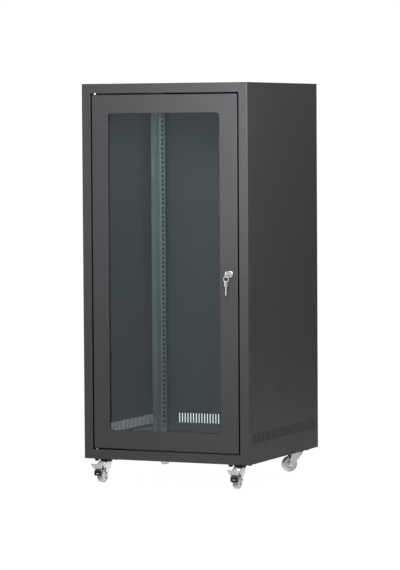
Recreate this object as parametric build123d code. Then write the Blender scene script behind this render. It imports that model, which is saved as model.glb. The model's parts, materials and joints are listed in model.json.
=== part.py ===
from build123d import *
import os

# Glass-door 19-inch equipment cabinet, 24 rack units high, on four swivel castors.
#
# Frame: X to the right seen from the front, Y towards the back, Z up.  The origin is on the
# floor, under the centre of the cabinet body.  All lengths are in millimetres.

# ---------------------------------------------------------------- driving dimensions
WIDTH = 560.0             # outside width of the cabinet body
DEPTH = 566.0             # outside depth of the cabinet body
BODY_HEIGHT = 1167.0      # height of the body above the castors
CASTER_HEIGHT = 75.0      # floor to the underside of the body
RACK_UNITS = 24
RACK_UNIT = 44.45
HOLE_COLUMN_X = 465.1 / 2     # half the spacing of the two hole columns
UNIT_HOLES = (6.35, 22.225, 38.1)   # hole heights within one rack unit
CAGE_HOLE = 9.5           # side of a square cage-nut hole

FRAME_SHEET = 1.5         # folded sheet of the end frames and the door
PANEL_SHEET = 1.2         # folded sheet of the panels
RAIL_SHEET = 2.0          # folded sheet of the rails and braces
REVEAL = 30.0             # width of the end frames seen from the front
SIDE_RETURN = 22.0        # how far the end frames wrap round the sides
INNER_RETURN = 18.0       # how deep the frame's door opening is folded
CORNER_BEND = 2.5         # outside bend radius at the body's corners
DOOR_BEND = 1.8           # the same at the door's edges
RIM_ROUND = 1.0           # rounding where a face is folded into an opening
SEAM = 0.3                # open seam between neighbouring sheets

DOOR_GAP = 4.5            # between frame and door, left and right
DOOR_GAP_Z = 4.5          # between frame and door, above and below
DOOR_DEPTH = 16.0
WINDOW_LEFT = -191.0
WINDOW_RIGHT = 186.0
WINDOW_LOW = 92.0         # above the underside of the body
WINDOW_HIGH = 1075.5
WINDOW_CORNER = 11.0
WINDOW_RETURN = 4.0      # depth of the folded rim round the window
GLASS = 4.0
GASKET = 1.0
GLASS_LAP = 10.0          # glass behind the window's edge

VENT_PITCH = 10.0
VENT_WIDTH = 3.4
VENT_HEIGHT = 32.0
VENT_MID_Z = 78.0         # above the underside of the body
BACK_VENT_COUNT = 43
SIDE_VENT_COUNT = 51

RAIL_FRONT = 60.0         # front face of the front rails, behind the front of the body
RAIL_REAR = 495.0         # rear face of the rear rails
RAIL_STEP = 35.0          # depth of a rail's Z-shaped section
RAIL_EDGE_X = 224.5       # inner edge of a rail
RAIL_WEB_X = 241.0        # inner face of a rail's web
BRACE_X = 258.0           # inner face of the depth braces
BRACE_DEPTH = 10.0
BRACE_HEIGHT = 36.0
BRACE_OFFSET = 20.0       # brace above the underside, or below the top
RAIL_MARGIN = 25.0        # between a rail's end and the underside or the top
RAIL_LIP = 20.0           # depth of the lip screwed to the braces

COVER_W = 300.0           # cover of a cable entry
COVER_D = 70.0
COVER_SETBACK = 100.0     # its middle ahead of the back
COVER_SCREW_INSET = 10.0
CABLE_SLOT_W = 260.0
CABLE_SLOT_D = 50.0
FAN_SPACING = 105.0       # screw spacing of a 120 mm fan
FAN_X = 90.0
FAN_Y = -30.0
FAN_SLOTS = 9             # slots in each of a fan grille's two rows
FAN_SLOT_PITCH = 11.0
FAN_SLOT_LENGTH = 42.0
FAN_ROW_Y = 25.0          # a grille's rows ahead of and behind the fan's middle
PANEL_LIP = 10.0          # folded lips at a side panel's front and rear edges
PANEL_LIP_GAP = 2.0
TOP_LIP = 13.0            # folded lips of the top and base panels
TOP_LIP_START = 16.0
BACK_MARGIN = 6.0         # bare frame round the back panel
BACK_SCREW_INSET = 15.0
BACK_SCREW_HEIGHTS = (60.0, 409.0)   # from the underside, and the same from the top
EARTH_X = 150.0
EARTH_SETBACK = 45.0      # earth stud ahead of the back
EARTH_HEIGHT = 20.0

FAN_HOLE_R = 2.2
SCREW_R = 2.5             # panel screws
SCREW_HEAD_R = 4.6
SCREW_HEAD_H = 2.4
SCREW_LENGTH = 4.0
RAIL_SCREW_R = 2.9
RAIL_SCREW_HEAD_R = 5.0
RAIL_SCREW_HEAD_H = 3.0
RAIL_SCREW_LENGTH = 6.0
EARTH_R = 3.0
BOLT_R = 4.0              # castor bolts
BOLT_HOLE_R = 4.2
BOLT_ACROSS = 13.0
BOLT_HEAD_H = 5.0
BOLT_NUT_H = 6.0
BACKING_PLATE = 3.0

HINGE_X = -238.0
HINGE_SETBACK = 8.0       # hinge axis behind the front of the body
HINGE_PIN_R = 3.0
RUNNING_FIT = 0.05        # radial clearance of a pin in its bush
BRACKET = 3.0             # thickness of the plate that carries a hinge pin
PIN_COLLAR_R = 5.5
PIN_COLLAR_H = 2.2
PIN_REACH = 11.0          # of a pin into the door
BUSH_FLANGE_H = 2.0
BUSH_R = 4.5
BUSH_BODY = 14.0

CLIP_WIDTH = 16.0         # clips that hold the glass
CLIP_SHEET = 1.5
CLIP_FOOT = 8.0
CLIP_LAP = 8.0
CLIP_GAP = 1.0            # between the clip's post and the glass
CLIP_SCREW_R = 1.9
CLIP_HEIGHTS = (-360.0, -120.0, 120.0, 360.0)   # from the window's middle
CLIP_ACROSS = 110.0
GASKET_LIP = 8.0          # width of the gasket round the window

LOCK_X = 220.0
LOCK_PLUG_R = 6.0
LOCK_BODY_R = 9.0
CAM_SETBACK = 20.0        # front face of the cam behind the front of the body
CAM_REACH = 38.0
CAM_WIDTH = 14.0
CAM_SHEET = 2.0
CAM_BORE_R = 4.0
CAM_SCREW_R = 2.0
LOCK_HEAD_R = 10.5
LOCK_HEAD_H = 4.0
LOCK_BODY_LENGTH = 18.0   # of the lock's barrel behind the door's face
LOCK_NUT_H = 5.0
KEYWAY_DEPTH = 13.0       # behind the door's face
KEYWAY_HALF = (1.25, 3.3)     # half width and half height of the keyway
KEY_THICK = 2.2
KEY_BOW_R = 10.0
KEY_BOW_REACH = 28.0      # middle of the bow ahead of the door's face
KEY_BLADE = 6.0
SPARE_KEY_LENGTH = 34.0
KEY_HOLE_R = 2.6
RING_R = 8.0
RING_WIRE_R = 0.9

WHEEL_R = 25.0
WHEEL_WIDTH = 20.0
TRAIL = 28.5              # wheel axle behind the swivel axis
CASTER_X = 228.0
CASTER_FRONT = 50.0       # swivel axis behind the front of the body
CASTER_REAR = 515.0
CASTER_PLATE = 62.0
CASTER_BOLT = 22.0        # half the bolt spacing
FORK_SHEET = 2.0
FORK_GAP = 24.0           # between the fork's legs
PLATE_SHEET = 2.5         # castor top plate
CUP_R = 20.0              # swivel cup
CUP_LOW = 65.0
SWIVEL_GAP = 0.4
CROWN_SHEET = 3.0
KINGPIN_R = 5.0
AXLE_R = 4.0
AXLE_ACROSS = 12.0
HUB_R = 18.0
HUB_BOSS_R = 7.0
HUB_RIM = 3.0
HUB_RECESS = 4.0
TREAD_ROUND = 5.5
PIVOT_R = 2.0             # brake rivet
PIVOT_HEAD_R = 3.4
BRAKE_Y = -45.0           # brake pivot ahead of the swivel axis
BRAKE_Z = 50.0
LEVER_SHEET = 2.0
LEVER_HALF = 10.5
LEVER_TIP_HALF = 18.0
PLATE_TIP = (-73.0, 61.0)     # the brake lever's plate: raised tip, knee and foot
PLATE_KNEE = (-60.5, 41.0)
PLATE_FOOT = (-62.0, 28.0)
PEDAL_FACE = -67.0
PEDAL_BACK = -58.0
PEDAL_HALF = 11.0
PEDAL_LOW = 24.0
PEDAL_HIGH = 40.0

CUT = 1.0                 # how far a cutting shape reaches past the surface it cuts

# ---------------------------------------------------------------- derived places
FRONT = -DEPTH / 2
BACK = DEPTH / 2
BASE = CASTER_HEIGHT
TOP = BASE + BODY_HEIGHT
MID_Z = (BASE + TOP) / 2
SIDE = WIDTH / 2
OPENING_X = SIDE - REVEAL
REAR_FACE = BACK - PANEL_SHEET
PANEL_FRONT = FRONT + SIDE_RETURN + SEAM
PANEL_REAR = REAR_FACE - SIDE_RETURN - SEAM
DOOR_X = OPENING_X - DOOR_GAP
DOOR_LOW = BASE + REVEAL + DOOR_GAP_Z
DOOR_HIGH = TOP - REVEAL - DOOR_GAP_Z
HINGE_Y = FRONT + HINGE_SETBACK
LOCK_Z = MID_Z
WINDOW_W = WINDOW_RIGHT - WINDOW_LEFT
WINDOW_H = WINDOW_HIGH - WINDOW_LOW
WINDOW_X = (WINDOW_LEFT + WINDOW_RIGHT) / 2
WINDOW_Z = BASE + (WINDOW_LOW + WINDOW_HIGH) / 2
GLASS_FRONT = FRONT + WINDOW_RETURN + GASKET
GLASS_BACK = GLASS_FRONT + GLASS
KEY_HOLE_Y = FRONT - 32.0
KEY_HOLE_Z = LOCK_Z - 4.5
RING_TOP_Z = KEY_HOLE_Z - 1.4
SPARE_HOLE_Z = RING_TOP_Z - 2 * RING_R - 1.4
KEY_BOW_Y = FRONT - KEY_BOW_REACH
LOCK_BODY_END = FRONT + LOCK_BODY_LENGTH
KEYWAY_END = FRONT + KEYWAY_DEPTH
PLUG_FACE = FRONT - LOCK_HEAD_H - 0.3
CAM_BACK = FRONT + CAM_SETBACK + CAM_SHEET
COVER_Y = BACK - COVER_SETBACK
COVER_SCREW_X = COVER_W / 2 - COVER_SCREW_INSET
BACK_PANEL_X = SIDE - BACK_MARGIN
BACK_SCREW_X = SIDE - BACK_SCREW_INSET
BACK_SCREW_Z = [BASE + z for z in BACK_SCREW_HEIGHTS] + [TOP - z for z in BACK_SCREW_HEIGHTS]
EARTH_Y = BACK - EARTH_SETBACK
RAIL_LOW = BASE + RAIL_MARGIN
RAIL_HIGH = TOP - RAIL_MARGIN
BRACE_MIDS = (BASE + BRACE_OFFSET + BRACE_HEIGHT / 2, TOP - BRACE_OFFSET - BRACE_HEIGHT / 2)
BACKING_TOP = BASE + FRAME_SHEET + BACKING_PLATE
CLIP_BACK = GLASS_BACK + CLIP_SHEET
SWIVELS = {
    "front_left": (-CASTER_X, FRONT + CASTER_FRONT, 0.0, True),
    "front_right": (CASTER_X, FRONT + CASTER_FRONT, 6.0, True),
    "rear_left": (-CASTER_X, FRONT + CASTER_REAR, -130.0, False),
    "rear_right": (CASTER_X, FRONT + CASTER_REAR, -44.0, False),
}                         # x, y, turn of the fork from straight ahead, has a brake
CROWN_HIGH = CUP_LOW - SWIVEL_GAP
CROWN_LOW = CROWN_HIGH - CROWN_SHEET


# ---------------------------------------------------------------- small helpers
def block(x0, x1, y0, y1, z0, z1):
    """An upright box between two corners."""
    centre = Pos((x0 + x1) / 2, (y0 + y1) / 2, (z0 + z1) / 2)
    return centre * Box(x1 - x0, y1 - y0, z1 - z0)


def rod_z(x, y, z0, z1, radius):
    return Pos(x, y, (z0 + z1) / 2) * Cylinder(radius, z1 - z0)


def rod_y(x, y0, y1, z, radius):
    return Pos(x, (y0 + y1) / 2, z) * Rot(90, 0, 0) * Cylinder(radius, y1 - y0)


def rod_x(x0, x1, y, z, radius):
    return Pos((x0 + x1) / 2, y, z) * Rot(0, 90, 0) * Cylinder(radius, x1 - x0)


def hexagon(across_flats, thickness):
    """A hexagonal prism about Z."""
    return extrude(RegularPolygon(across_flats / 2, 6, major_radius=False), thickness / 2, both=True)


def facing_front(sketch, y0, y1):
    """Extrude an X-Z sketch from y0 to y1."""
    return extrude(Plane.XZ.offset(-(y0 + y1) / 2) * sketch, (y1 - y0) / 2, both=True)


def facing_side(sketch, x0, x1):
    """Extrude a Y-Z sketch from x0 to x1."""
    return extrude(Plane.YZ.offset((x0 + x1) / 2) * sketch, (x1 - x0) / 2, both=True)


def mirrored_x(shape):
    return mirror(shape, about=Plane.YZ)


def row(count, pitch):
    """Places of a centred row."""
    return [(index - (count - 1) / 2) * pitch for index in range(count)]


def caster_bolt_places():
    for x, y, _turn, _brake in SWIVELS.values():
        for dx in (-CASTER_BOLT, CASTER_BOLT):
            for dy in (-CASTER_BOLT, CASTER_BOLT):
                yield x + dx, y + dy


def caster_bolt_holes():
    reach = 10.0
    return [rod_z(x, y, BASE - reach, BASE + reach, BOLT_HOLE_R) for x, y in caster_bolt_places()]


# ---------------------------------------------------------------- carcass
def end_frame():
    """A folded ring: face, wrap-round returns and the inner return of the opening."""
    shell = block(-SIDE, SIDE, FRONT, FRONT + SIDE_RETURN, BASE, TOP)
    shell = fillet(shell.faces().sort_by(Axis.Y)[0].edges(), CORNER_BEND)
    pocket = block(-SIDE + FRAME_SHEET, SIDE - FRAME_SHEET, FRONT + FRAME_SHEET,
                   FRONT + SIDE_RETURN + CUT, BASE + FRAME_SHEET, TOP - FRAME_SHEET)
    pocket = fillet(pocket.faces().sort_by(Axis.Y)[0].edges(), CORNER_BEND - FRAME_SHEET)
    lining = block(-OPENING_X - FRAME_SHEET, OPENING_X + FRAME_SHEET, FRONT, FRONT + INNER_RETURN,
                   BASE + REVEAL - FRAME_SHEET, TOP - REVEAL + FRAME_SHEET)
    opening = block(-OPENING_X, OPENING_X, FRONT - CUT, FRONT + SIDE_RETURN,
                    BASE + REVEAL, TOP - REVEAL)
    ring = shell - pocket + lining - opening
    return fillet(ring.faces().sort_by(Axis.Y)[0].inner_wires()[0].edges(), RIM_ROUND)


def front_frame():
    holes = [rod_z(HINGE_X, HINGE_Y, z - 5, z + 5, HINGE_PIN_R + RUNNING_FIT)
             for z in (BASE + REVEAL, TOP - REVEAL)]
    return end_frame() - holes - caster_bolt_holes()


def rear_frame():
    ring = Pos(0, -PANEL_SHEET, 0) * mirror(end_frame(), about=Plane.XZ)
    return ring - caster_bolt_holes() - back_screw_holes()


def vent_slots(count):
    """A centred row of upright rounded slots, as a sketch in a vertical plane."""
    slot = SlotOverall(VENT_HEIGHT, VENT_WIDTH, rotation=90)
    return Sketch() + [Pos(place, BASE + VENT_MID_Z) * slot for place in row(count, VENT_PITCH)]


def side_panel_left():
    """A flat sheet with a folded lip at its front and rear edges and a low row of slots."""
    sheet = block(-SIDE, -SIDE + PANEL_SHEET, PANEL_FRONT, PANEL_REAR, BASE, TOP)
    inner = -SIDE + PANEL_LIP
    low = BASE + PANEL_LIP_GAP
    high = TOP - PANEL_LIP_GAP
    lips = [block(-SIDE, inner, PANEL_FRONT, PANEL_FRONT + PANEL_SHEET, low, high),
            block(-SIDE, inner, PANEL_REAR - PANEL_SHEET, PANEL_REAR, low, high)]
    slots = facing_side(vent_slots(SIDE_VENT_COUNT), -SIDE - CUT, -SIDE + PANEL_SHEET + CUT)
    return sheet + lips - slots


def side_panel_right():
    return mirrored_x(side_panel_left())


def level_panel():
    """The sheet that closes the top, with folded lips at its left and right edges."""
    edge = SIDE - PANEL_SHEET - SEAM
    sheet = block(-edge, edge, PANEL_FRONT, PANEL_REAR, TOP - PANEL_SHEET, TOP)
    lip_left = block(-edge, -edge + PANEL_SHEET, PANEL_FRONT + TOP_LIP_START,
                     PANEL_REAR - TOP_LIP_START, TOP - TOP_LIP, TOP)
    return sheet + lip_left + mirrored_x(lip_left)


def cable_slot(z):
    """The cable entry and the two screw holes of its cover."""
    reach = 4.0
    outline = RectangleRounded(CABLE_SLOT_W, CABLE_SLOT_D, 8)
    entry = extrude(Pos(0, COVER_Y, z) * outline, reach, both=True)
    return [entry] + [rod_z(x, COVER_Y, z - reach, z + reach, SCREW_R + RUNNING_FIT)
                      for x in (-COVER_SCREW_X, COVER_SCREW_X)]


def fan_grille(centre_x):
    """Slots and four screw holes for one 120 mm fan."""
    reach = 5.0
    slot = SlotOverall(FAN_SLOT_LENGTH, VENT_WIDTH, rotation=90)
    slots = Sketch() + [Pos(centre_x + x, FAN_Y + y) * slot
                        for x in row(FAN_SLOTS, FAN_SLOT_PITCH) for y in (-FAN_ROW_Y, FAN_ROW_Y)]
    corner = FAN_SPACING / 2
    holes = [rod_z(centre_x + x, FAN_Y + y, TOP - reach, TOP + reach, FAN_HOLE_R)
             for x in (-corner, corner) for y in (-corner, corner)]
    return [extrude(Pos(0, 0, TOP) * slots, reach, both=True)] + holes


def top_panel():
    return level_panel() - cable_slot(TOP) - fan_grille(-FAN_X) - fan_grille(FAN_X)


def base_panel():
    """The top sheet turned over, with castor, cable and earth holes."""
    sheet = Pos(0, 0, BASE + TOP) * mirror(level_panel(), about=Plane.XY)
    earth = rod_z(EARTH_X, EARTH_Y, BASE - 5, BASE + 5, EARTH_R + RUNNING_FIT)
    return sheet - cable_slot(BASE) - caster_bolt_holes() - earth


def cable_cover(z0, z1):
    outline = RectangleRounded(COVER_W, COVER_D, 6)
    plate = extrude(Pos(0, COVER_Y, (z0 + z1) / 2) * outline, (z1 - z0) / 2, both=True)
    return plate - [rod_z(x, COVER_Y, z0 - CUT, z1 + CUT, SCREW_R + RUNNING_FIT)
                    for x in (-COVER_SCREW_X, COVER_SCREW_X)]


def cable_covers():
    """Inside cover plates over the two cable entries."""
    upper = cable_cover(TOP - 2 * PANEL_SHEET, TOP - PANEL_SHEET)
    lower = cable_cover(BASE + PANEL_SHEET, BASE + 2 * PANEL_SHEET)
    return [upper, lower]


def back_screw_places():
    return [(side * BACK_SCREW_X, z) for side in (-1, 1) for z in BACK_SCREW_Z]


def back_screw_holes():
    reach = SCREW_LENGTH
    return [rod_y(x, REAR_FACE - reach, BACK + CUT, z, SCREW_R + RUNNING_FIT)
            for x, z in back_screw_places()]


def back_panel():
    """A flat sheet screwed on the rear frame, with a low row of slots."""
    outline = RectangleRounded(2 * BACK_PANEL_X, BODY_HEIGHT - 2 * BACK_MARGIN, 5)
    sheet = facing_front(Pos(0, MID_Z) * outline, REAR_FACE, BACK)
    slots = facing_front(vent_slots(BACK_VENT_COUNT), REAR_FACE - CUT, BACK + CUT)
    return sheet - slots - back_screw_holes()


# ---------------------------------------------------------------- rails and braces
def cage_holes():
    """The square holes of one rail, as a sketch of X and Z."""
    lowest = MID_Z - RACK_UNITS * RACK_UNIT / 2
    heights = [lowest + unit * RACK_UNIT + hole for unit in range(RACK_UNITS) for hole in UNIT_HOLES]
    return Sketch() + [Pos(-HOLE_COLUMN_X, z) * Rectangle(CAGE_HOLE, CAGE_HOLE) for z in heights]


def rail_screw_places(face, inward):
    lip_mid = face + inward * (RAIL_STEP - RAIL_LIP / 2)
    return [(lip_mid, z) for z in BRACE_MIDS]


def rail(face, inward):
    """A left rail: hole flange, web, outer flange and the lip that is screwed to the braces.

    face is where the hole flange looks outwards; inward is +1 or -1 along Y.
    """
    far = face + inward * RAIL_STEP
    flange_back = face + inward * RAIL_SHEET
    outer_front = far - inward * RAIL_SHEET
    lip_end = far - inward * RAIL_LIP

    def wall(x0, x1, ya, yb):
        return block(x0, x1, min(ya, yb), max(ya, yb), RAIL_LOW, RAIL_HIGH)

    profile = wall(-RAIL_WEB_X - RAIL_SHEET, -RAIL_EDGE_X, face, flange_back)
    profile += wall(-RAIL_WEB_X - RAIL_SHEET, -RAIL_WEB_X, face, far)
    profile += wall(-BRACE_X, -RAIL_WEB_X, outer_front, far)
    profile += wall(-BRACE_X, -BRACE_X + RAIL_SHEET, lip_end, far)
    profile -= facing_front(cage_holes(), min(face, flange_back) - CUT, max(face, flange_back) + CUT)
    holes = [rod_x(-BRACE_X - CUT, -BRACE_X + RAIL_SHEET + CUT, y, z, RAIL_SCREW_R + RUNNING_FIT)
             for y, z in rail_screw_places(face, inward)]
    return profile - holes


def rail_front_left():
    return rail(FRONT + RAIL_FRONT, 1)


def rail_rear_left():
    return rail(FRONT + RAIL_REAR, -1)


def rail_front_right():
    return mirrored_x(rail_front_left())


def rail_rear_right():
    return mirrored_x(rail_rear_left())


def brace(mid_z):
    """A channel from the front frame to the rear frame, open towards the side."""
    y0 = FRONT + FRAME_SHEET
    y1 = REAR_FACE - FRAME_SHEET
    low = mid_z - BRACE_HEIGHT / 2
    high = mid_z + BRACE_HEIGHT / 2
    outer = block(-BRACE_X - BRACE_DEPTH, -BRACE_X, y0, y1, low, high)
    hollow = block(-BRACE_X - BRACE_DEPTH - CUT, -BRACE_X - RAIL_SHEET, y0 - CUT, y1 + CUT,
                   low + RAIL_SHEET, high - RAIL_SHEET)
    places = rail_screw_places(FRONT + RAIL_FRONT, 1) + rail_screw_places(FRONT + RAIL_REAR, -1)
    holes = [rod_x(-BRACE_X - BRACE_DEPTH, -BRACE_X + CUT, y, z, RAIL_SCREW_R + RUNNING_FIT)
             for y, z in places if z == mid_z]
    return outer - hollow - holes


def braces_left():
    return [brace(mid_z) for mid_z in BRACE_MIDS]


def braces_right():
    return [mirrored_x(piece) for piece in braces_left()]


# ---------------------------------------------------------------- fasteners of the carcass
def pan_screw(length, shank_r, head_r, head_h):
    """A screw along Z: the head's underside is at Z 0 and the shank runs down."""
    head = Pos(0, 0, head_h / 2) * Cylinder(head_r, head_h)
    head = fillet(head.edges().sort_by(Axis.Z)[-1], head_h * 0.45)
    slot_arm = head_r * 1.1
    cross = Pos(0, 0, head_h) * (Box(slot_arm, 1.0, 1.6) + Box(1.0, slot_arm, 1.6))
    return head + Pos(0, 0, -length / 2) * Cylinder(shank_r, length) - cross


def rail_screws():
    screw = pan_screw(RAIL_SCREW_LENGTH, RAIL_SCREW_R, RAIL_SCREW_HEAD_R, RAIL_SCREW_HEAD_H)
    screws = []
    for face, inward in ((FRONT + RAIL_FRONT, 1), (FRONT + RAIL_REAR, -1)):
        for y, z in rail_screw_places(face, inward):
            left = Pos(-BRACE_X + RAIL_SHEET, y, z) * Rot(0, 90, 0) * screw
            screws += [left, mirrored_x(left)]
    return screws


def panel_screws():
    """The screws of the back panel and of the two cable covers."""
    screw = pan_screw(SCREW_LENGTH, SCREW_R, SCREW_HEAD_R, SCREW_HEAD_H)
    screws = [Pos(x, BACK, z) * Rot(-90, 0, 0) * screw for x, z in back_screw_places()]
    short_screw = pan_screw(2 * PANEL_SHEET, SCREW_R, SCREW_HEAD_R, SCREW_HEAD_H)
    for x in (-COVER_SCREW_X, COVER_SCREW_X):
        screws.append(Pos(x, COVER_Y, BASE + 2 * PANEL_SHEET) * short_screw)
        screws.append(Pos(x, COVER_Y, TOP - 2 * PANEL_SHEET) * Rot(180, 0, 0) * short_screw)
    return screws


def earth_stud():
    """The bonding stud on the base, with its nut as a separate solid."""
    across = 10.0
    nut_h = 5.0
    stud = rod_z(EARTH_X, EARTH_Y, BASE + 0.2, BASE + EARTH_HEIGHT, EARTH_R)
    low = BASE + PANEL_SHEET
    nut = Pos(EARTH_X, EARTH_Y, low + nut_h / 2) * hexagon(across, nut_h)
    bore = rod_z(EARTH_X, EARTH_Y, low - CUT, low + nut_h + CUT, EARTH_R + RUNNING_FIT)
    return [stud, nut - bore]


# ---------------------------------------------------------------- door hinges
def both_ends(shape):
    """A shape at the bottom of the door, and the same turned over at its top."""
    return [shape, Pos(0, 0, BASE + TOP) * mirror(shape, about=Plane.XY)]


def hinge_brackets():
    """Plates welded inside the end frame, each carrying one pin."""
    top = BASE + REVEAL - FRAME_SHEET
    plate = block(HINGE_X - 9, HINGE_X + 15, FRONT + FRAME_SHEET, FRONT + INNER_RETURN - 1,
                  top - BRACKET, top)
    bore = rod_z(HINGE_X, HINGE_Y, top - BRACKET - CUT, top + CUT, HINGE_PIN_R + RUNNING_FIT)
    return both_ends(plate - bore)


def hinge_pins():
    """Collared pivot pins standing on the frame's opening."""
    floor = BASE + REVEAL
    foot = floor - FRAME_SHEET - BRACKET - 4.0
    pin = rod_z(HINGE_X, HINGE_Y, foot, DOOR_LOW + PIN_REACH, HINGE_PIN_R)
    pin += rod_z(HINGE_X, HINGE_Y, floor, floor + PIN_COLLAR_H, PIN_COLLAR_R)
    return both_ends(pin)


def door_bushes():
    """Flanged bushes in the door's lower and upper edges."""
    bush = rod_z(HINGE_X, HINGE_Y, DOOR_LOW, DOOR_LOW + BUSH_BODY, BUSH_R)
    bush += rod_z(HINGE_X, HINGE_Y, DOOR_LOW - BUSH_FLANGE_H, DOOR_LOW, PIN_COLLAR_R)
    bore = rod_z(HINGE_X, HINGE_Y, DOOR_LOW - 5, DOOR_LOW + BUSH_BODY - 2, HINGE_PIN_R + RUNNING_FIT)
    return both_ends(bush - bore)


# ---------------------------------------------------------------- door
def window_outline(grow):
    """The window's rounded outline, larger all round by grow."""
    outline = RectangleRounded(WINDOW_W + 2 * grow, WINDOW_H + 2 * grow, WINDOW_CORNER + grow)
    return Pos(WINDOW_X, WINDOW_Z) * outline


def door_shell():
    """A folded tray with a window: face, edge returns and the window's return."""
    tray = block(-DOOR_X, DOOR_X, FRONT, FRONT + DOOR_DEPTH, DOOR_LOW, DOOR_HIGH)
    tray = fillet(tray.faces().sort_by(Axis.Y)[0].edges(), DOOR_BEND)
    pocket = block(-DOOR_X + FRAME_SHEET, DOOR_X - FRAME_SHEET, FRONT + FRAME_SHEET,
                   FRONT + DOOR_DEPTH + CUT, DOOR_LOW + FRAME_SHEET, DOOR_HIGH - FRAME_SHEET)
    lining = facing_front(window_outline(FRAME_SHEET), FRONT, FRONT + WINDOW_RETURN)
    opening = facing_front(window_outline(0), FRONT - CUT, FRONT + DOOR_DEPTH)
    shell = tray - pocket + lining - opening
    shell = fillet(shell.faces().sort_by(Axis.Y)[0].inner_wires()[0].edges(), RIM_ROUND)
    bushes = [rod_z(HINGE_X, HINGE_Y, z - 3, z + 3, BUSH_R + RUNNING_FIT)
              for z in (DOOR_LOW, DOOR_HIGH)]
    return shell - bushes - rod_y(LOCK_X, FRONT - 5, FRONT + 5, LOCK_Z, LOCK_BODY_R + RUNNING_FIT)


def window_glass():
    outline = Pos(WINDOW_X, WINDOW_Z) * RectangleRounded(
        WINDOW_W + 2 * GLASS_LAP, WINDOW_H + 2 * GLASS_LAP, 4)
    pane = facing_front(outline, GLASS_FRONT, GLASS_BACK)
    faces = pane.faces().sort_by(Axis.Y)
    return chamfer(faces[0].edges() + faces[-1].edges(), 0.4)


def glass_gasket():
    ring = window_outline(GASKET_LIP) - window_outline(0.2)
    return facing_front(ring, FRONT + WINDOW_RETURN, GLASS_FRONT)


def clip_places():
    """Where each clip stands: a point on the glass edge and the direction away from the glass."""
    left = WINDOW_LEFT - GLASS_LAP
    right = WINDOW_RIGHT + GLASS_LAP
    low = BASE + WINDOW_LOW - GLASS_LAP
    high = BASE + WINDOW_HIGH + GLASS_LAP
    places = []
    for z in CLIP_HEIGHTS:
        places += [(left, WINDOW_Z + z, 180), (right, WINDOW_Z + z, 0)]
    for x in (WINDOW_X - CLIP_ACROSS, WINDOW_X + CLIP_ACROSS):
        places += [(x, low, 90), (x, high, -90)]
    return places


def placed_on_glass(shape, place):
    """Turn a shape made for a right-hand edge at the origin to one of the clip places."""
    x, z, turn = place
    return Pos(x, 0, z) * Rot(0, turn, 0) * shape


def clip():
    """A spacer block on the door's face with a tongue over the edge of the glass."""
    half = CLIP_WIDTH / 2
    edge = CLIP_GAP + CLIP_FOOT
    post = block(CLIP_GAP, edge, FRONT + FRAME_SHEET, CLIP_BACK, -half, half)
    tongue = block(-CLIP_LAP, edge, GLASS_BACK, CLIP_BACK, -half, half)
    hole = rod_y(CLIP_GAP + CLIP_FOOT / 2, FRONT, CLIP_BACK + CUT, 0, CLIP_SCREW_R + RUNNING_FIT)
    return post + tongue - hole


def glass_clips():
    return [placed_on_glass(clip(), place) for place in clip_places()]


def clip_screws():
    length = CLIP_BACK - FRONT - FRAME_SHEET
    screw = Rot(-90, 0, 0) * pan_screw(length, CLIP_SCREW_R, 3.6, 2.0)
    screw = Pos(CLIP_GAP + CLIP_FOOT / 2, CLIP_BACK, 0) * screw
    return [placed_on_glass(screw, place) for place in clip_places()]


# ---------------------------------------------------------------- lock and keys
def lock_housing():
    """Chromed lock body with a domed head outside the door."""
    head = rod_y(LOCK_X, FRONT - LOCK_HEAD_H, FRONT, LOCK_Z, LOCK_HEAD_R)
    head = fillet(head.edges().sort_by(Axis.Y)[0], 2.4)
    barrel = rod_y(LOCK_X, FRONT, LOCK_BODY_END, LOCK_Z, LOCK_BODY_R)
    bore = rod_y(LOCK_X, FRONT - LOCK_HEAD_H - CUT, LOCK_BODY_END + CUT, LOCK_Z,
                 LOCK_PLUG_R + RUNNING_FIT)
    return head + barrel - bore


def lock_nut():
    front = FRONT + FRAME_SHEET
    across = 23.0
    nut = Pos(LOCK_X, front + LOCK_NUT_H / 2, LOCK_Z) * Rot(90, 0, 0) * hexagon(across, LOCK_NUT_H)
    return nut - rod_y(LOCK_X, front - CUT, front + LOCK_NUT_H + CUT, LOCK_Z,
                       LOCK_BODY_R + RUNNING_FIT)


def lock_plug():
    """The turning cylinder: keyway in front, reduced tail and screw hole behind."""
    half_w, half_h = KEYWAY_HALF
    shoulder = CAM_BACK - CAM_SHEET - 0.5
    plug = rod_y(LOCK_X, PLUG_FACE, shoulder, LOCK_Z, LOCK_PLUG_R)
    plug += rod_y(LOCK_X, shoulder - CUT, CAM_BACK, LOCK_Z, CAM_BORE_R)
    keyway = block(LOCK_X - half_w, LOCK_X + half_w, PLUG_FACE - CUT, KEYWAY_END,
                   LOCK_Z - half_h, LOCK_Z + half_h)
    thread = rod_y(LOCK_X, KEYWAY_END + 2, CAM_BACK + CUT, LOCK_Z, CAM_SCREW_R + RUNNING_FIT)
    return plug - keyway - thread


def lock_cam():
    """The locking tongue, hanging straight down when unlocked."""
    bar = SlotOverall(CAM_REACH + CAM_WIDTH / 2, CAM_WIDTH, rotation=90)
    outline = Pos(LOCK_X, LOCK_Z - (CAM_REACH - CAM_WIDTH / 2) / 2) * bar
    front = CAM_BACK - CAM_SHEET
    bore = rod_y(LOCK_X, front - CUT, CAM_BACK + CUT, LOCK_Z, CAM_BORE_R + RUNNING_FIT)
    return facing_front(outline, front, CAM_BACK) - bore


def cam_screw():
    screw = pan_screw(CAM_BACK - KEYWAY_END - 3, CAM_SCREW_R, 5.2, 2.6)
    return Pos(LOCK_X, CAM_BACK, LOCK_Z) * Rot(-90, 0, 0) * screw


def key_teeth(start, count, pitch, depth):
    """Small notches along a blade, as a sketch of blade length and height."""
    notches = [Pos(start + index * pitch, KEY_BLADE / 2) * Rot(0, 0, 45) * Rectangle(depth, depth)
               for index in range(count)]
    return Sketch() + notches


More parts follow.
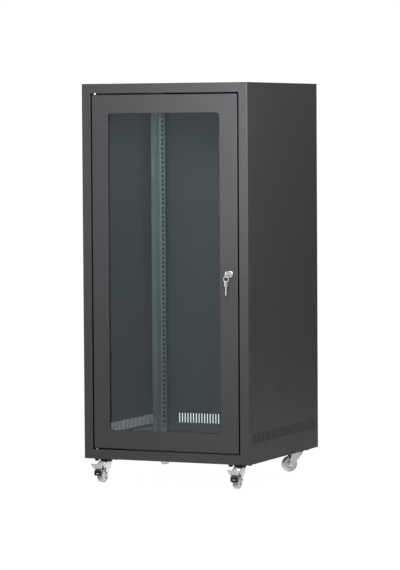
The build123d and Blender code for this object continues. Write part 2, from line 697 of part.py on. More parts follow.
def key_outline(reach):
    """A key in its own plane: bow at the origin, blade along +X up to reach."""
    bow = Circle(KEY_BOW_R)
    shoulder = Pos(KEY_BOW_R + 1, 0) * Rectangle(7, 7.4)
    blade = Pos((KEY_BOW_R + reach) / 2, 0) * Rectangle(reach - KEY_BOW_R, KEY_BLADE)
    tip_cut = Pos(reach, 3.4) * Rot(0, 0, 45) * Rectangle(4, 4)
    return bow + shoulder + blade - tip_cut - key_teeth(reach - 14, 4, 3.2, 1.6)


def key():
    """The key in the lock, its bow upright."""
    reach = KEYWAY_END - 2 - KEY_BOW_Y
    outline = Pos(KEY_BOW_Y, LOCK_Z) * key_outline(reach)
    outline -= Pos(KEY_HOLE_Y, KEY_HOLE_Z) * Circle(KEY_HOLE_R)
    return facing_side(outline, LOCK_X - KEY_THICK / 2, LOCK_X + KEY_THICK / 2)


def key_ring():
    ring = Rot(90, 0, 0) * Torus(RING_R, RING_WIRE_R)
    return Pos(LOCK_X, KEY_HOLE_Y, RING_TOP_Z - RING_R) * ring


def spare_key():
    """The second key, hanging blade down from the ring."""
    hole_to_bow = 5.4
    hanging = Rot(0, 0, -90) * key_outline(SPARE_KEY_LENGTH)
    outline = Pos(KEY_HOLE_Y, SPARE_HOLE_Z - hole_to_bow) * hanging
    outline -= Pos(KEY_HOLE_Y, SPARE_HOLE_Z) * Circle(KEY_HOLE_R)
    return facing_side(outline, LOCK_X - KEY_THICK / 2, LOCK_X + KEY_THICK / 2)


# ---------------------------------------------------------------- castors
def on_caster(shape, name, turned=True):
    """Place a shape made round the swivel axis at the origin."""
    x, y, turn, _brake = SWIVELS[name]
    return Pos(x, y, 0) * Rot(0, 0, turn if turned else 0) * shape


def caster_plate(name):
    """Top plate with the pressed swivel cup below it."""
    outline = RectangleRounded(CASTER_PLATE, CASTER_PLATE, 9)
    plate = extrude(Pos(0, 0, BASE - PLATE_SHEET) * outline, PLATE_SHEET)
    cup = rod_z(0, 0, CUP_LOW, BASE - PLATE_SHEET, CUP_R)
    cup = fillet(cup.edges().sort_by(Axis.Z)[0], 3.0)
    body = plate + cup - rod_z(0, 0, CUP_LOW - CUT, BASE + CUT, KINGPIN_R + RUNNING_FIT)
    return on_caster(body, name, turned=False) - caster_bolt_holes()


def caster_kingpins():
    head_r = 8.0
    head_top = CROWN_LOW - SWIVEL_GAP
    shank = rod_z(0, 0, head_top, BASE - 0.5, KINGPIN_R)
    head = rod_z(0, 0, CROWN_LOW - 3.0, head_top, head_r)
    head = fillet(head.edges().sort_by(Axis.Z)[0], 1.2)
    return [on_caster(shank + head, name, turned=False) for name in SWIVELS]


def caster_backing_plates():
    """Stiffening plates on top of the base, above each castor."""
    outline = RectangleRounded(CASTER_PLATE, CASTER_PLATE, 4)
    plates = []
    for name in SWIVELS:
        plate = extrude(Pos(0, 0, BASE + FRAME_SHEET) * outline, BACKING_PLATE)
        plates.append(on_caster(plate, name, turned=False) - caster_bolt_holes())
    return plates


def caster_bolts():
    """Bolts from inside the cabinet, each with its nut under the castor plate."""
    nut_top = BASE - PLATE_SHEET
    nut_low = nut_top - BOLT_NUT_H
    pieces = []
    for x, y in caster_bolt_places():
        shank = rod_z(x, y, nut_low - 1.0, BACKING_TOP, BOLT_R)
        head = Pos(x, y, BACKING_TOP + BOLT_HEAD_H / 2) * hexagon(BOLT_ACROSS, BOLT_HEAD_H)
        nut = Pos(x, y, nut_low + BOLT_NUT_H / 2) * hexagon(BOLT_ACROSS, BOLT_NUT_H)
        nut -= rod_z(x, y, nut_low - CUT, nut_top + CUT, BOLT_R + RUNNING_FIT)
        pieces += [shank + head, nut]
    return pieces


def leg_outline(with_brake):
    """One fork leg seen from the side, as a sketch of Y and Z."""
    top = Pos(-5, CROWN_HIGH - 3.5) * Rectangle(34, 7)
    foot = Pos(-TRAIL, WHEEL_R) * Circle(8.5)
    outline = make_hull(top.edges() + foot.edges())
    if with_brake:
        ear = Pos(BRAKE_Y, BRAKE_Z) * Circle(4.6)
        outline += make_hull(top.edges() + ear.edges())
    return outline


def caster_fork(name):
    """Crown and two legs, open below for the wheel."""
    with_brake = SWIVELS[name][3]
    half = FORK_GAP / 2
    crown = rod_z(0, 0, CROWN_LOW, CROWN_HIGH, CUP_R - 1)
    crown = fillet(crown.edges().sort_by(Axis.Z)[-1], 1.2)
    bridge = block(-half, half, -22, 12, CROWN_LOW, CROWN_HIGH)
    leg = facing_side(leg_outline(with_brake), half, half + FORK_SHEET)
    fork = crown + bridge + leg + mirrored_x(leg)
    reach = half + FORK_SHEET + CUT
    fork -= rod_z(0, 0, CROWN_LOW - CUT, CROWN_HIGH + CUT, KINGPIN_R + RUNNING_FIT)
    fork -= rod_x(-reach, reach, -TRAIL, WHEEL_R, AXLE_R + RUNNING_FIT)
    if with_brake:
        fork -= rod_x(-reach, reach, BRAKE_Y, BRAKE_Z, PIVOT_R + RUNNING_FIT)
    return on_caster(fork, name)


def caster_axle(name):
    """Axle bolt and its nut; a braked castor has the brake's rivet too."""
    side = FORK_GAP / 2 + FORK_SHEET
    head_h = 4.0
    nut_h = 4.5
    rivet_head = 1.2
    head = Pos(side + head_h / 2, -TRAIL, WHEEL_R) * Rot(0, 90, 0) * hexagon(AXLE_ACROSS, head_h)
    bolt = rod_x(-side - nut_h - 1, side, -TRAIL, WHEEL_R, AXLE_R) + head
    nut = Pos(-side - nut_h / 2, -TRAIL, WHEEL_R) * Rot(0, 90, 0) * hexagon(AXLE_ACROSS, nut_h)
    nut -= rod_x(-side - nut_h - CUT, -side + CUT, -TRAIL, WHEEL_R, AXLE_R + RUNNING_FIT)
    pieces = [bolt, nut]
    if SWIVELS[name][3]:
        end = side + rivet_head
        rivet = rod_x(-end, end, BRAKE_Y, BRAKE_Z, PIVOT_R)
        for x0, x1 in ((-end, -side), (side, end)):
            rivet += rod_x(x0, x1, BRAKE_Y, BRAKE_Z, PIVOT_HEAD_R)
        pieces.append(rivet)
    return [on_caster(piece, name) for piece in pieces]


def caster_hub(name):
    """Wheel centre with a recessed web on both sides."""
    half = WHEEL_WIDTH / 2
    hub = rod_x(-half, half, -TRAIL, WHEEL_R, HUB_R)
    for x0, x1 in ((-half - CUT, -half + HUB_RECESS), (half - HUB_RECESS, half + CUT)):
        recess = rod_x(x0, x1, -TRAIL, WHEEL_R, HUB_R - HUB_RIM)
        hub -= recess - rod_x(x0, x1, -TRAIL, WHEEL_R, HUB_BOSS_R + 0.5)
    boss = half + 1.4
    hub += rod_x(-boss, boss, -TRAIL, WHEEL_R, HUB_BOSS_R)
    hub -= rod_x(-boss - CUT, boss + CUT, -TRAIL, WHEEL_R, AXLE_R + RUNNING_FIT)
    return on_caster(hub, name)


def caster_tread(name):
    """Soft tyre with a rounded tread."""
    half = WHEEL_WIDTH / 2
    tyre = rod_x(-half, half, -TRAIL, WHEEL_R, WHEEL_R)
    tyre = fillet(tyre.edges(), TREAD_ROUND)
    tyre -= rod_x(-half - CUT, half + CUT, -TRAIL, WHEEL_R, HUB_R + RUNNING_FIT)
    return on_caster(tyre, name)


def strip_outline(points, sheet):
    """A bent strip seen edge on: straight pieces of one thickness with rounded bends."""
    outline = Sketch()
    for (ya, za), (yb, zb) in zip(points, points[1:]):
        ends = [Pos(ya, za) * Circle(sheet / 2), Pos(yb, zb) * Circle(sheet / 2)]
        outline += make_hull(ends[0].edges() + ends[1].edges())
    return outline


def brake_lever(name):
    """Rocker: a barrel on the rivet, an arm, and a flared plate that runs down into the pedal."""
    half = LEVER_HALF
    tip = LEVER_TIP_HALF
    tip_low = PLATE_TIP[1] - 5.0
    tip_high = PLATE_TIP[1] + 5.0
    knee = PLATE_KNEE[1]
    arm = strip_outline([(BRAKE_Y, BRAKE_Z), (PLATE_KNEE[0] - 6, BRAKE_Z)], 2.4)
    rocker = facing_side(Pos(BRAKE_Y, BRAKE_Z) * Circle(4.0) + arm, -half, half)
    strip = strip_outline([PLATE_TIP, PLATE_KNEE, PLATE_FOOT], LEVER_SHEET)
    flare = Polygon((-half, 0), (half, 0), (half, knee), (tip, tip_low), (tip, tip_high),
                    (-tip, tip_high), (-tip, tip_low), (-half, knee), align=None)
    plate = facing_side(strip, -tip, tip) & facing_front(flare, PLATE_TIP[0] - 5, BRAKE_Y)
    pivot = rod_x(-half - CUT, half + CUT, BRAKE_Y, BRAKE_Z, PIVOT_R + RUNNING_FIT)
    return on_caster(rocker + plate - pivot, name)


def brake_pedal(name):
    """Plastic foot pad on the lever's arm, with a small window through its face."""
    pad = block(-PEDAL_HALF, PEDAL_HALF, PEDAL_FACE, PEDAL_BACK, PEDAL_LOW, PEDAL_HIGH)
    pad = fillet(pad.edges().filter_by(Axis.Y), 3.0)
    pad = fillet(pad.faces().sort_by(Axis.Y)[0].edges(), 1.5)
    slot = Pos(0, (PEDAL_LOW + PEDAL_HIGH) / 2 - 1.5) * SlotOverall(11, 4)
    window = facing_front(slot, PEDAL_FACE - CUT, PEDAL_FACE + 4)
    held = strip_outline([PLATE_KNEE, PLATE_FOOT], LEVER_SHEET + 0.2)
    socket = facing_side(held, -LEVER_HALF - 0.1, LEVER_HALF + 0.1)
    return on_caster(pad - window - socket, name)


# ---------------------------------------------------------------- all nodes
NODES = {
    "front_frame": front_frame,
    "rear_frame": rear_frame,
    "top_panel": top_panel,
    "base_panel": base_panel,
    "side_panel_left": side_panel_left,
    "side_panel_right": side_panel_right,
    "back_panel": back_panel,
    "cable_covers": cable_covers,
    "rail_front_left": rail_front_left,
    "rail_front_right": rail_front_right,
    "rail_rear_left": rail_rear_left,
    "rail_rear_right": rail_rear_right,
    "braces_left": braces_left,
    "braces_right": braces_right,
    "rail_screws": rail_screws,
    "panel_screws": panel_screws,
    "earth_stud": earth_stud,
    "hinge_brackets": hinge_brackets,
    "hinge_pins": hinge_pins,
    "door_bushes": door_bushes,
    "door_shell": door_shell,
    "window_glass": window_glass,
    "glass_gasket": glass_gasket,
    "glass_clips": glass_clips,
    "clip_screws": clip_screws,
    "lock_housing": lock_housing,
    "lock_nut": lock_nut,
    "lock_plug": lock_plug,
    "lock_cam": lock_cam,
    "cam_screw": cam_screw,
    "key": key,
    "key_ring": key_ring,
    "spare_key": spare_key,
    "caster_kingpins": caster_kingpins,
    "caster_backing_plates": caster_backing_plates,
    "caster_bolts": caster_bolts,
}
CASTER_NODES = {
    "caster_plate": caster_plate,
    "caster_fork": caster_fork,
    "caster_axle": caster_axle,
    "caster_hub": caster_hub,
    "caster_tread": caster_tread,
    "brake_lever": brake_lever,
    "brake_pedal": brake_pedal,
}


def save(node, made):
    solids = made if isinstance(made, list) else [made]
    pieces = [solid for shape in solids for solid in shape.solids()]
    shape = pieces[0] if len(pieces) == 1 else Compound(children=pieces)
    shape.label = node
    export_step(shape, f"parts/{node}.step")


def main():
    os.makedirs("parts", exist_ok=True)
    for node, make in NODES.items():
        save(node, make())
    for kind, make in CASTER_NODES.items():
        for name, (_x, _y, _turn, has_brake) in SWIVELS.items():
            if has_brake or not kind.startswith("brake"):
                save(f"{kind}_{name}", make(name))


main()
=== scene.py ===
"""Looks of a glass-door equipment cabinet on castors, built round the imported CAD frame."""
import json
import math

import bmesh
import bpy
from mathutils import Matrix, Vector


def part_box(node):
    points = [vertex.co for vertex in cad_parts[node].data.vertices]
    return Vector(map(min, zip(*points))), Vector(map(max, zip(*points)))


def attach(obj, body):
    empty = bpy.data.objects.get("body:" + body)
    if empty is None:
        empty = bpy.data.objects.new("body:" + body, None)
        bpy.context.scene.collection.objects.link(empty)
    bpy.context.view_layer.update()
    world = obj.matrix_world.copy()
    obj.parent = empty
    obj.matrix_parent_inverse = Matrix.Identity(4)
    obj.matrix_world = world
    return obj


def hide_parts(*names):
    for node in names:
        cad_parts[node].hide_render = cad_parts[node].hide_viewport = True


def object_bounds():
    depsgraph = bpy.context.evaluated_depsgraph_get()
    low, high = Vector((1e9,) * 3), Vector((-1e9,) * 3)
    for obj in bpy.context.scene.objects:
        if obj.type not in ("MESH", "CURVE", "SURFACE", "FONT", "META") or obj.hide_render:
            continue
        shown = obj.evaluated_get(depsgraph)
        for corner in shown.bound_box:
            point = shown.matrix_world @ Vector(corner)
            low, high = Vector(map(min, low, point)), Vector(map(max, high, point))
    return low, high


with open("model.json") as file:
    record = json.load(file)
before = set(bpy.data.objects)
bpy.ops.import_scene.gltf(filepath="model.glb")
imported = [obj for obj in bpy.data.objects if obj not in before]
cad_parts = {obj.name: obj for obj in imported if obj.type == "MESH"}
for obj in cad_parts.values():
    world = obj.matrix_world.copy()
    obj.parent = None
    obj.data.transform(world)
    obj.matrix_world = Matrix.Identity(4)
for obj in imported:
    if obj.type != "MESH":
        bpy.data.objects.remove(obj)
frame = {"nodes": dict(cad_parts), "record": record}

MM = 0.001

# pale bar on a brake pedal
PEDAL_FACE = -65.6 * MM     # its middle, ahead of the swivel axis
MARK_SIZE = Vector((9.4, 1.6, 3.3)) * MM
MARK_EDGE = 0.5 * MM        # bevel round the bar
MARK_DROP = 1.5 * MM        # its middle below the pedal's
PEDAL_TURNS = {"front_left": 0.0, "front_right": 6.0}   # degrees each castor stands turned

# key ring
RING_TURNS = 2.0
RING_START = 35             # degrees round the ring where the wire begins
RING_STEPS = 180            # steps along the wire
WIRE_CORNERS = 12           # corners round the wire

# floor
FLOOR_HALF = 30.0           # half its side
FLOOR_GAP = 0.2 * MM        # below the wheels
MIRRORED_NEAR = 1.6         # the floor shows in reflections up to here from the cabinet
MIRRORED_FAR = 2.6          # and fades to nothing here
MIRRORED_SHARE = 0.45

# lamps: name, place, target, size, power, colour
LAMPS = (
    ("key_light", (0.50, -1.25, 1.22), (0.05, -0.28, 0.80), 0.45, 18, (1.0, 0.985, 1.05)),
    ("front_light", (-0.7, -2.3, 1.9), (0.05, -0.28, 0.75), 0.25, 9, (1.0, 1.0, 1.0)),
    ("side_light", (1.1, 0.05, 1.9), (0.28, 0.05, 1.05), 0.3, 5, (1.0, 1.0, 1.0)),
    ("floor_bounce", (0.0, 0.0, 0.002), (0.0, 0.0, 0.5), 0.62, 0.7, (1.0, 1.0, 1.0)),
)

# camera
CAMERA_PLACE = (3.8103, -8.5139, 1.1142)
CAMERA_YAW = 24.154         # degrees to the left of straight ahead
CAMERA_PITCH = 3.1115       # degrees downwards
CAMERA_ROLL = -0.3568
CAMERA_LENS = 186.48        # focal length for a film 36 mm wide
FILM_WIDTH = 36.0

cad_low, cad_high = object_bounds()


# ---------------------------------------------------------------- node graph helper
class Graph:
    """A material's node tree with short calls for the few nodes used here."""

    def __init__(self, name, **sockets):
        self.material = bpy.data.materials.new(name)
        self.material.use_nodes = True
        self.nodes = self.material.node_tree.nodes
        self.links = self.material.node_tree.links
        self.nodes.clear()
        self.output = self.nodes.new("ShaderNodeOutputMaterial")
        self.shader = self.nodes.new("ShaderNodeBsdfPrincipled")
        self.link(self.shader.outputs[0], self.output.inputs["Surface"])
        for socket, value in sockets.items():
            self.shader.inputs[socket.replace("_", " ")].default_value = value
        self.place = self.nodes.new("ShaderNodeTexCoord").outputs["Object"]

    def link(self, source, target):
        self.links.new(source, target)

    def node(self, kind, inputs=None, **properties):
        made = self.nodes.new(kind)
        for key, value in properties.items():
            setattr(made, key, value)
        for key, value in (inputs or {}).items():
            if isinstance(value, bpy.types.NodeSocket):
                self.link(value, made.inputs[key])
            else:
                made.inputs[key].default_value = value
        return made

    def stretched(self, x, y, z):
        """Object coordinates scaled apart, for grain that runs one way."""
        mapping = self.node("ShaderNodeMapping", {"Vector": self.place, "Scale": (x, y, z)})
        return mapping.outputs[0]

    def noise(self, size, detail=3.0, rough=0.5, place=None):
        """Noise with features of about size metres."""
        inputs = {"Vector": place or self.place, "Scale": 1 / size, "Detail": detail, "Roughness": rough}
        return self.node("ShaderNodeTexNoise", inputs).outputs[0]

    def cells(self, size):
        """A random colour for each cell of about size metres."""
        inputs = {"Vector": self.place, "Scale": 1 / size}
        return self.node("ShaderNodeTexVoronoi", inputs).outputs["Color"]

    def remap(self, value, low, high, to_low, to_high):
        inputs = {"Value": value, 1: low, 2: high, 3: to_low, 4: to_high}
        return self.node("ShaderNodeMapRange", inputs).outputs[0]

    def math(self, operation, first, second):
        return self.node("ShaderNodeMath", {0: first, 1: second}, operation=operation).outputs[0]

    def blend(self, factor, first, second):
        """A colour between two colours."""
        inputs = {0: factor, 6: first, 7: second}
        return self.node("ShaderNodeMix", inputs, data_type="RGBA").outputs[2]

    def bump(self, height, distance, below=None):
        inputs = {"Height": height, "Distance": distance, "Strength": 1.0}
        if below is not None:
            inputs["Normal"] = below
        return self.node("ShaderNodeBump", inputs).outputs[0]

    def edges(self, radius):
        """1 along sharp edges, falling to 0 within radius."""
        bevel = self.node("ShaderNodeBevel", {"Radius": radius}, samples=4).outputs[0]
        normal = self.node("ShaderNodeNewGeometry").outputs["Normal"]
        agree = self.node("ShaderNodeVectorMath", {0: bevel, 1: normal}, operation="DOT_PRODUCT")
        return self.remap(agree.outputs["Value"], 0.80, 0.995, 1.0, 0.0)

    def crevice_shade(self, reach, closed, clear):
        """The mask for painted shade in crevices: 1 where the open share of the surroundings is at most
        closed, 0 where it is at least clear.
        """
        inputs = {"Distance": reach}
        open_sky = self.node("ShaderNodeAmbientOcclusion", inputs, samples=4).outputs["AO"]
        return self.remap(open_sky, closed, clear, 1.0, 0.0)

    def paint(self, colour=None, roughness=None, normal=None):
        """Connect what varies over the surface."""
        for socket, source in (("Base Color", colour), ("Roughness", roughness), ("Normal", normal)):
            if source is not None:
                self.link(source, self.shader.inputs[socket])
        return self.material


def shade(colour, factor):
    """A colour made lighter or darker, with full alpha."""
    return (*[min(1.0, channel * factor) for channel in colour], 1.0)


# ---------------------------------------------------------------- materials
COAT = (0.050, 0.0505, 0.0515)
# dark colours blended into closed-in corners of metal parts, forks and tyres: grime and painted shade
CORNER_GRIME_AND_SHADE = (0.30, 0.28, 0.26, 1)
FORK_GRIME_AND_SHADE = (0.13, 0.11, 0.09, 1)
TYRE_GRIME_AND_SHADE = (0.30, 0.27, 0.24, 1)


def powder_coat(name, colour=COAT, gloss=0.0):
    """Fine-textured powder coat: orange peel, a pebbled grain, faint handling marks, polished edges, and
    painted shade, near black, in gaps and crevices.
    """
    g = Graph(name, Metallic=0.0, Specular_IOR_Level=0.5)
    tone = g.noise(0.35, detail=2.0)
    speck = g.noise(0.0011, detail=2.0)
    body = g.blend(g.remap(tone, 0.3, 0.7, 0.0, 1.0), shade(colour, 0.95), shade(colour, 1.05))
    body = g.blend(g.remap(speck, 0.35, 0.75, 0.0, 0.35), body, shade(colour, 1.35))
    worn = g.math("MULTIPLY", g.edges(0.9 * MM), g.remap(g.noise(0.02), 0.4, 0.7, 0.1, 0.45))
    body = g.blend(worn, body, shade(colour, 2.0))
    # painted shade: a near-black colour blended in where the surroundings close in, darkening the door gap
    # and other crevices
    body = g.blend(g.crevice_shade(0.014, closed=0.35, clear=0.95), body, shade(colour, 0.06))
    marks = g.noise(0.11, detail=5.0, rough=0.6)
    roughness = g.remap(marks, 0.3, 0.7, 0.44 - gloss, 0.54 - gloss)
    peel = g.bump(g.noise(0.0045, detail=1.0), 0.00002)
    grain = g.bump(speck, 0.00005, below=peel)
    return g.paint(body, roughness, grain)


def zinc_sheet(name, colour=(0.27, 0.285, 0.285), roughness=0.42):
    """Zinc-plated sheet: soft spangle, rolling lines and a slight haze."""
    g = Graph(name, Metallic=0.75)
    spangle = g.cells(0.009)
    lines = g.noise(0.004, detail=4.0, place=g.stretched(1.0, 1.0, 0.02))
    body = g.blend(g.remap(spangle, 0.0, 1.0, 0.0, 1.0), shade(colour, 0.90), shade(colour, 1.10))
    body = g.blend(g.remap(lines, 0.3, 0.7, 0.0, 0.4), body, shade(colour, 0.82))
    haze = g.remap(g.noise(0.05, detail=4.0), 0.3, 0.7, roughness - 0.06, roughness + 0.08)
    return g.paint(body, haze, g.bump(lines, 0.00002))


def polished_metal(name, colour, roughness, scratch=0.00001, metallic=1.0, grime_and_shade=CORNER_GRIME_AND_SHADE):
    """Bright plating: hairline scratches, cloudy patches, rubbed edges, and grime with painted shade in the
    corners.
    """
    g = Graph(name, Metallic=metallic)
    hairs = g.noise(0.0006, detail=3.0, place=g.stretched(1.0, 1.0, 0.12))
    cloud = g.noise(0.006, detail=4.0)
    body = g.blend(g.remap(cloud, 0.3, 0.7, 0.0, 1.0), shade(colour, 0.86), shade(colour, 1.04))
    body = g.blend(g.math("MULTIPLY", g.edges(0.5 * MM), 0.5), body, shade(colour, 1.15))
    # grime and painted shade: a dark colour blended in where the surroundings close in, darkening corners
    # and the fork round the wheel
    body = g.blend(g.crevice_shade(0.02, closed=0.2, clear=0.8), body, grime_and_shade)
    dull = g.remap(cloud, 0.3, 0.75, roughness, roughness + 0.12)
    return g.paint(body, dull, g.bump(hairs, scratch))


def moulded_plastic(name, colour, roughness, grain=0.00003, **sockets):
    """Moulded plastic: spark-eroded grain and faint flow marks."""
    g = Graph(name, **sockets)
    flow = g.noise(0.012, detail=3.0)
    grains = g.noise(0.0005, detail=2.0)
    body = g.blend(g.remap(flow, 0.3, 0.7, 0.0, 1.0), shade(colour, 0.92), shade(colour, 1.06))
    matt = g.remap(flow, 0.3, 0.7, roughness - 0.04, roughness + 0.06)
    return g.paint(body, matt, g.bump(grains, grain))


def clear_tyre(name):
    """Clear polyurethane: glossy, slightly milky, with dust on the running surface, and grime with painted
    shade where the fork and hub close in.
    """
    g = Graph(name, IOR=1.49, Transmission_Weight=0.75, Coat_Weight=0.15, Coat_Roughness=0.08)
    dust = g.noise(0.004, detail=5.0)
    body = g.blend(g.remap(dust, 0.45, 0.75, 0.0, 0.5), (0.92, 0.91, 0.88, 1), (0.72, 0.68, 0.62, 1))
    # grime and painted shade: a dark colour blended into the tread where the fork and hub close in
    body = g.blend(g.crevice_shade(0.02, closed=0.2, clear=0.7), body, TYRE_GRIME_AND_SHADE)
    haze = g.remap(dust, 0.35, 0.7, 0.10, 0.30)
    return g.paint(body, haze, g.bump(g.noise(0.0012), 0.00002))


def window_pane(name):
    """Toughened float glass that lets the lamps through, with wiping haze."""
    tint = (0.79, 0.895, 0.905, 1)
    g = Graph(name, Base_Color=tint, IOR=1.45, Transmission_Weight=1.0)
    wiped = g.noise(0.06, detail=5.0, place=g.stretched(1.0, 1.0, 0.35))
    g.link(g.remap(wiped, 0.45, 0.8, 0.0, 0.006), g.shader.inputs["Roughness"])
    clear = g.node("ShaderNodeBsdfTransparent", {"Color": tint}).outputs[0]
    path = g.node("ShaderNodeLightPath")
    through = g.math("MAXIMUM", path.outputs["Is Shadow Ray"], path.outputs["Is Diffuse Ray"])
    mixed = g.node("ShaderNodeMixShader", {0: through, 1: g.shader.outputs[0], 2: clear})
    g.link(mixed.outputs[0], g.output.inputs["Surface"])
    return g.material


def rubber(name):
    return moulded_plastic(name, (0.018, 0.018, 0.018), 0.7, grain=0.00008)


MATERIALS = {
    "powder_coat": powder_coat("powder_coat"),
    "zinc_sheet": zinc_sheet("zinc_sheet"),
    "zinc_fastener": polished_metal("zinc_fastener", (0.62, 0.62, 0.60), 0.28),
    "black_fastener": powder_coat("black_fastener", (0.012, 0.012, 0.013), gloss=0.12),
    "bright_steel": polished_metal("bright_steel", (0.90, 0.86, 0.84), 0.2, metallic=0.75),
    "nickel_key": polished_metal("nickel_key", (0.95, 0.92, 0.88), 0.24, scratch=0.00002, metallic=0.4),
    "clear_glass": window_pane("clear_glass"),
    "black_rubber": rubber("black_rubber"),
    "white_nylon": moulded_plastic("white_nylon", (0.24, 0.24, 0.23), 0.4, Subsurface_Weight=0.1),
    "black_plate": powder_coat("black_plate", (0.014, 0.014, 0.015), gloss=0.15),
    "chrome_fork": polished_metal("chrome_fork", (0.84, 0.83, 0.81), 0.16, metallic=0.8, grime_and_shade=FORK_GRIME_AND_SHADE),
    "white_hub": moulded_plastic("white_hub", (0.93, 0.92, 0.90), 0.32, Coat_Weight=0.2),
    "clear_tread": clear_tyre("clear_tread"),
    "black_plastic": moulded_plastic("black_plastic", (0.008, 0.008, 0.008), 0.55, Specular_IOR_Level=0.35),
}
NODE_SLOTS = {entry["node"]: entry["material_slot"] for entry in frame["record"]["subparts"]}


def paint_cad():
    """Give every CAD node the material of its slot."""
    for node, obj in frame["nodes"].items():
        obj.data.materials.clear()
        obj.data.materials.append(MATERIALS[NODE_SLOTS[node]])


# ---------------------------------------------------------------- pieces made here
def mesh_object(name, bm, material):
    mesh = bpy.data.meshes.new(name)
    bm.to_mesh(mesh)
    bm.free()
    mesh.materials.append(material)
    for polygon in mesh.polygons:
        polygon.use_smooth = True
    obj = bpy.data.objects.new(name, mesh)
    bpy.context.scene.collection.objects.link(obj)
    return obj


def split_ring():
    """The key ring as it is wound: two close turns of flattened wire with cut ends."""
    low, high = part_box("key_ring")
    centre = (low + high) / 2
    outer = (high.z - low.z) / 2
    depth = (high.y - low.y) / 2
    wire_w = 0.42 * depth
    wire_h = 0.95 * depth
    radius = outer - wire_h
    start = math.radians(RING_START)
    bm = bmesh.new()
    rings = []
    for step in range(RING_STEPS + 1):
        share = step / RING_STEPS
        angle = start + share * RING_TURNS * 2 * math.pi
        shift = depth * 0.5 * max(-1.0, min(1.0, (share - 0.5) * 10))
        taper = min(1.0, 0.35 + 14 * min(share, 1 - share))
        outward = Vector((math.cos(angle), 0, math.sin(angle)))
        middle = centre + outward * radius + Vector((0, shift, 0))
        ring = []
        for corner in range(WIRE_CORNERS):
            turn = 2 * math.pi * corner / WIRE_CORNERS
            offset = outward * wire_h * taper * math.cos(turn) + Vector((0, wire_w * math.sin(turn), 0))
            ring.append(bm.verts.new(middle + offset))
        rings.append(ring)
    for first, second in zip(rings, rings[1:]):
        for corner in range(WIRE_CORNERS):
            following = (corner + 1) % WIRE_CORNERS
            bm.faces.new((first[corner], second[corner], second[following], first[following]))
    bm.faces.new(rings[0])
    bm.faces.new(list(reversed(rings[-1])))
    bmesh.ops.recalc_face_normals(bm, faces=bm.faces)
    ring = mesh_object("split_key_ring", bm, MATERIALS["nickel_key"])
    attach(ring, "key_ring")
    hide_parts("key_ring")


def pedal_marks():
    """A pale moulded bar set in the recess of each brake pedal."""
    joints = {joint["name"]: joint for joint in frame["record"]["behaviour"]["joints"]}
    for name, degrees in PEDAL_TURNS.items():
        low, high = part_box(f"brake_pedal_{name}")
        axis = Vector(joints[f"swivel_{name}"]["pos_m"])
        turn = Matrix.Rotation(math.radians(degrees), 4, "Z")
        bm = bmesh.new()
        bmesh.ops.create_cube(bm, size=1.0, matrix=Matrix.Diagonal((*MARK_SIZE, 1)))
        bmesh.ops.bevel(bm, geom=bm.edges, offset=MARK_EDGE, segments=3, affect="EDGES")
        place = Vector((0, PEDAL_FACE, (low.z + high.z) / 2 - MARK_DROP))
        bmesh.ops.translate(bm, verts=bm.verts, vec=place)
        bmesh.ops.transform(bm, matrix=Matrix.Translation((axis.x, axis.y, 0)) @ turn, verts=bm.verts)
        mark = mesh_object(f"pedal_mark_{name}", bm, MATERIALS["white_hub"])
        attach(mark, f"brake_{name}")


# ---------------------------------------------------------------- stage
def studio_world(strength, dark_side, background):
    """Soft studio surroundings; what the camera sees of them directly is plain white."""
    world = bpy.data.worlds.new("studio")
    bpy.context.scene.world = world
    world.use_nodes = True
    nodes = world.node_tree.nodes
    links = world.node_tree.links
    nodes.clear()
    output = nodes.new("ShaderNodeOutputWorld")
    soft = nodes.new("ShaderNodeBackground")
    direction = nodes.new("ShaderNodeTexCoord")
    split = nodes.new("ShaderNodeSeparateXYZ")
    links.new(direction.outputs["Generated"], split.inputs[0])
    fall = nodes.new("ShaderNodeMapRange")
    fall.inputs["From Min"].default_value = -0.2
    fall.inputs["From Max"].default_value = 0.9
    fall.inputs["To Min"].default_value = strength
    fall.inputs["To Max"].default_value = strength * dark_side
    links.new(split.outputs["X"], fall.inputs["Value"])
    links.new(fall.outputs[0], soft.inputs["Strength"])
    white = nodes.new("ShaderNodeBackground")
    white.inputs["Color"].default_value = (1, 1, 1, 1)
    white.inputs["Strength"].default_value = background
    path = nodes.new("ShaderNodeLightPath")
    seen = nodes.new("ShaderNodeMath")
    seen.operation = "MAXIMUM"
    links.new(path.outputs["Is Camera Ray"], seen.inputs[0])
    links.new(path.outputs["Is Transmission Ray"], seen.inputs[1])
    mix = nodes.new("ShaderNodeMixShader")
    links.new(seen.outputs[0], mix.inputs[0])
    links.new(soft.outputs[0], mix.inputs[1])
    links.new(white.outputs[0], mix.inputs[2])
    links.new(mix.outputs[0], output.inputs["Surface"])


def area_lamp(name, place, target, size, power, colour):
    """A square area lamp at a place, facing a target."""
    away = Vector(place) - Vector(target)
    data = bpy.data.lights.new(name, "AREA")
    data.shape = "SQUARE"
    data.size = size
    data.energy = power
    data.color = colour
    lamp = bpy.data.objects.new(name, data)
    lamp.location = place
    lamp.visible_camera = False
    lamp.rotation_mode = "QUATERNION"
    lamp.rotation_quaternion = away.to_track_quat("Z", "Y")
    bpy.context.scene.collection.objects.link(lamp)


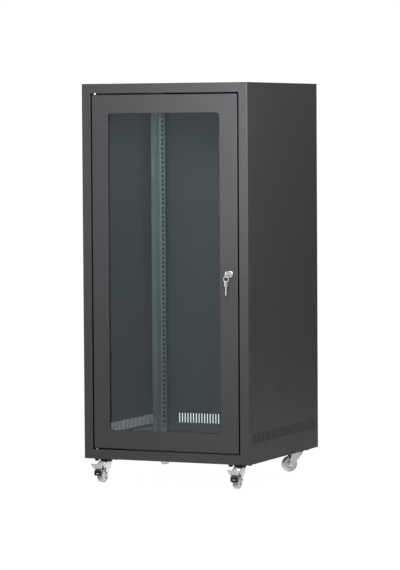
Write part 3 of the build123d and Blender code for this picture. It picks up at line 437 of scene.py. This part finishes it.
def pale_floor(glow, dim):
    """A large pale floor just under the wheels. It glows at glow where it is seen, and at dim otherwise."""
    bm = bmesh.new()
    corners = ((-1, -1), (1, -1), (1, 1), (-1, 1))
    level = cad_low.z - FLOOR_GAP
    bm.faces.new([bm.verts.new((x * FLOOR_HALF, y * FLOOR_HALF, level)) for x, y in corners])
    g = Graph("floor_paper", Roughness=0.9, Specular_IOR_Level=0.1, Emission_Color=(1, 1, 1, 1))
    path = g.node("ShaderNodeLightPath")
    away = g.node("ShaderNodeVectorMath", {0: g.place}, operation="LENGTH").outputs["Value"]
    near = g.remap(away, MIRRORED_NEAR, MIRRORED_FAR, MIRRORED_SHARE, 0.0)
    mirrored = g.math("MULTIPLY", near, path.outputs["Is Glossy Ray"])
    seen = g.math("MAXIMUM", path.outputs["Is Camera Ray"], path.outputs["Is Transmission Ray"])
    strength = g.remap(g.math("MAXIMUM", seen, mirrored), 0.0, 1.0, dim, glow)
    g.link(strength, g.shader.inputs["Emission Strength"])
    body = g.blend(g.noise(2.0), (0.16, 0.16, 0.16, 1), (0.18, 0.18, 0.18, 1))
    floor = mesh_object("floor", bm, g.paint(body))


def photo_camera():
    """The camera: looks down slightly from the right, with a long lens."""
    yaw = math.radians(CAMERA_YAW)
    pitch = math.radians(CAMERA_PITCH)
    roll = math.radians(CAMERA_ROLL)
    forward = Vector((-math.sin(yaw) * math.cos(pitch), math.cos(yaw) * math.cos(pitch), -math.sin(pitch)))
    level = Vector((math.cos(yaw), math.sin(yaw), 0))
    upright = level.cross(forward)
    right = level * math.cos(roll) + upright * math.sin(roll)
    up = upright * math.cos(roll) - level * math.sin(roll)
    data = bpy.data.cameras.new("camera")
    data.lens = CAMERA_LENS
    data.sensor_width = FILM_WIDTH
    camera = bpy.data.objects.new("camera", data)
    turned = Matrix((right, up, -forward)).transposed().to_4x4()
    camera.matrix_world = Matrix.Translation(CAMERA_PLACE) @ turned
    bpy.context.scene.collection.objects.link(camera)
    bpy.context.scene.camera = camera


photo_camera()
paint_cad()
split_ring()
pedal_marks()
pale_floor(glow=0.98, dim=0.14)
studio_world(strength=0.37, dark_side=0.6, background=1.05)
for lamp in LAMPS:
    area_lamp(*lamp)
bpy.context.scene.view_settings.view_transform = "Standard"
bpy.context.scene.view_settings.look = "None"
